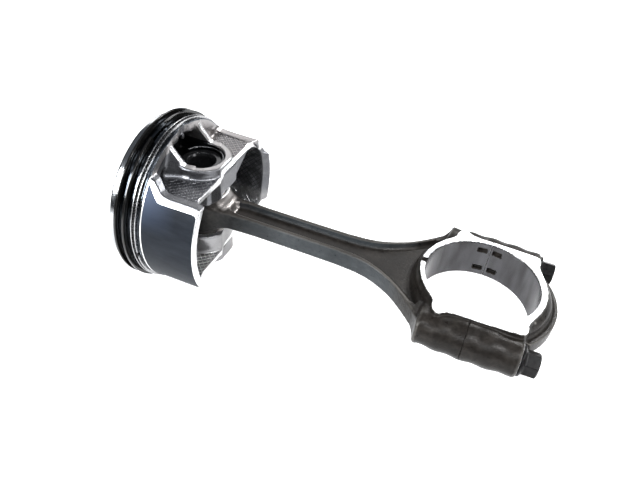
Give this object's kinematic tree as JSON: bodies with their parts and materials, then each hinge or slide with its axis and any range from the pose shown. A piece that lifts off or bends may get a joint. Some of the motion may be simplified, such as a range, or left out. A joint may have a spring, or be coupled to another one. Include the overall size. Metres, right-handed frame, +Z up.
{
  "type": "piston",
  "caption": "Short-skirt piston with its rings, floating pin and a forged I-section connecting rod with a bolted big-end cap.",
  "frame": {"origin": "centre of the footprint on the ground, with the assembly lying at rest on its second ring and the big-end cap's lower thrust face", "axes": "+X along the rod from the crown towards the big end, level with the ground; +Y across the rod; +Z up. The pin and crankpin axes lean 10.17 degrees from +Z towards +X"},
  "size_m": [0.2196, 0.0922, 0.0918],
  "materials": {
    "piston_casting": "machined lands and rims over an as-cast body, matt dark coat on the skirts",
    "ring_black": "black, semi-gloss",
    "rail_steel": "dark polished steel",
    "expander_steel": "bright spring steel",
    "pin_steel": "ground and polished",
    "clip_steel": "dark spring wire",
    "bush_bronze": "bronze",
    "rod_forging": "shot-peened forging with bright machined faces",
    "bolt_black": "black oxide"
  },
  "bodies": {
    "piston_body": {"piston": "piston_casting", "circlip_front": "clip_steel", "circlip_rear": "clip_steel"},
    "rod_body": {"connecting_rod": "rod_forging", "small_end_bush": "bush_bronze", "big_end_cap": "rod_forging", "cap_bolt_near": "bolt_black", "cap_bolt_far": "bolt_black"},
    "pin_body": {"gudgeon_pin": "pin_steel"},
    "top_ring_body": {"top_compression_ring": "ring_black"},
    "second_ring_body": {"second_compression_ring": "ring_black"},
    "oil_rail_upper_body": {"oil_rail_upper": "rail_steel"},
    "oil_expander_body": {"oil_ring_expander": "expander_steel"},
    "oil_rail_lower_body": {"oil_rail_lower": "rail_steel"}
  },
  "joints": [
    {"name": "rod_swing", "type": "hinge", "parent": "piston_body", "child": "rod_body", "pos_m": [-0.07477, 0, 0.04235], "axis": [0.1766, 0, 0.9843], "range_deg": [-45, 45]},
    {"name": "pin_float", "type": "hinge", "parent": "piston_body", "child": "pin_body", "pos_m": [-0.07477, 0, 0.04235], "axis": [0.1766, 0, 0.9843], "continuous": true},
    {"name": "top_ring_turn", "type": "hinge", "parent": "piston_body", "child": "top_ring_body", "pos_m": [-0.09219, 0, 0.04548], "axis": [0.9843, 0, -0.1766], "continuous": true},
    {"name": "second_ring_turn", "type": "hinge", "parent": "piston_body", "child": "second_ring_body", "pos_m": [-0.09219, 0, 0.04548], "axis": [0.9843, 0, -0.1766], "continuous": true},
    {"name": "oil_rail_upper_turn", "type": "hinge", "parent": "piston_body", "child": "oil_rail_upper_body", "pos_m": [-0.09219, 0, 0.04548], "axis": [0.9843, 0, -0.1766], "continuous": true},
    {"name": "oil_expander_turn", "type": "hinge", "parent": "piston_body", "child": "oil_expander_body", "pos_m": [-0.09219, 0, 0.04548], "axis": [0.9843, 0, -0.1766], "continuous": true},
    {"name": "oil_rail_lower_turn", "type": "hinge", "parent": "piston_body", "child": "oil_rail_lower_body", "pos_m": [-0.09219, 0, 0.04548], "axis": [0.9843, 0, -0.1766], "continuous": true}
  ]
}
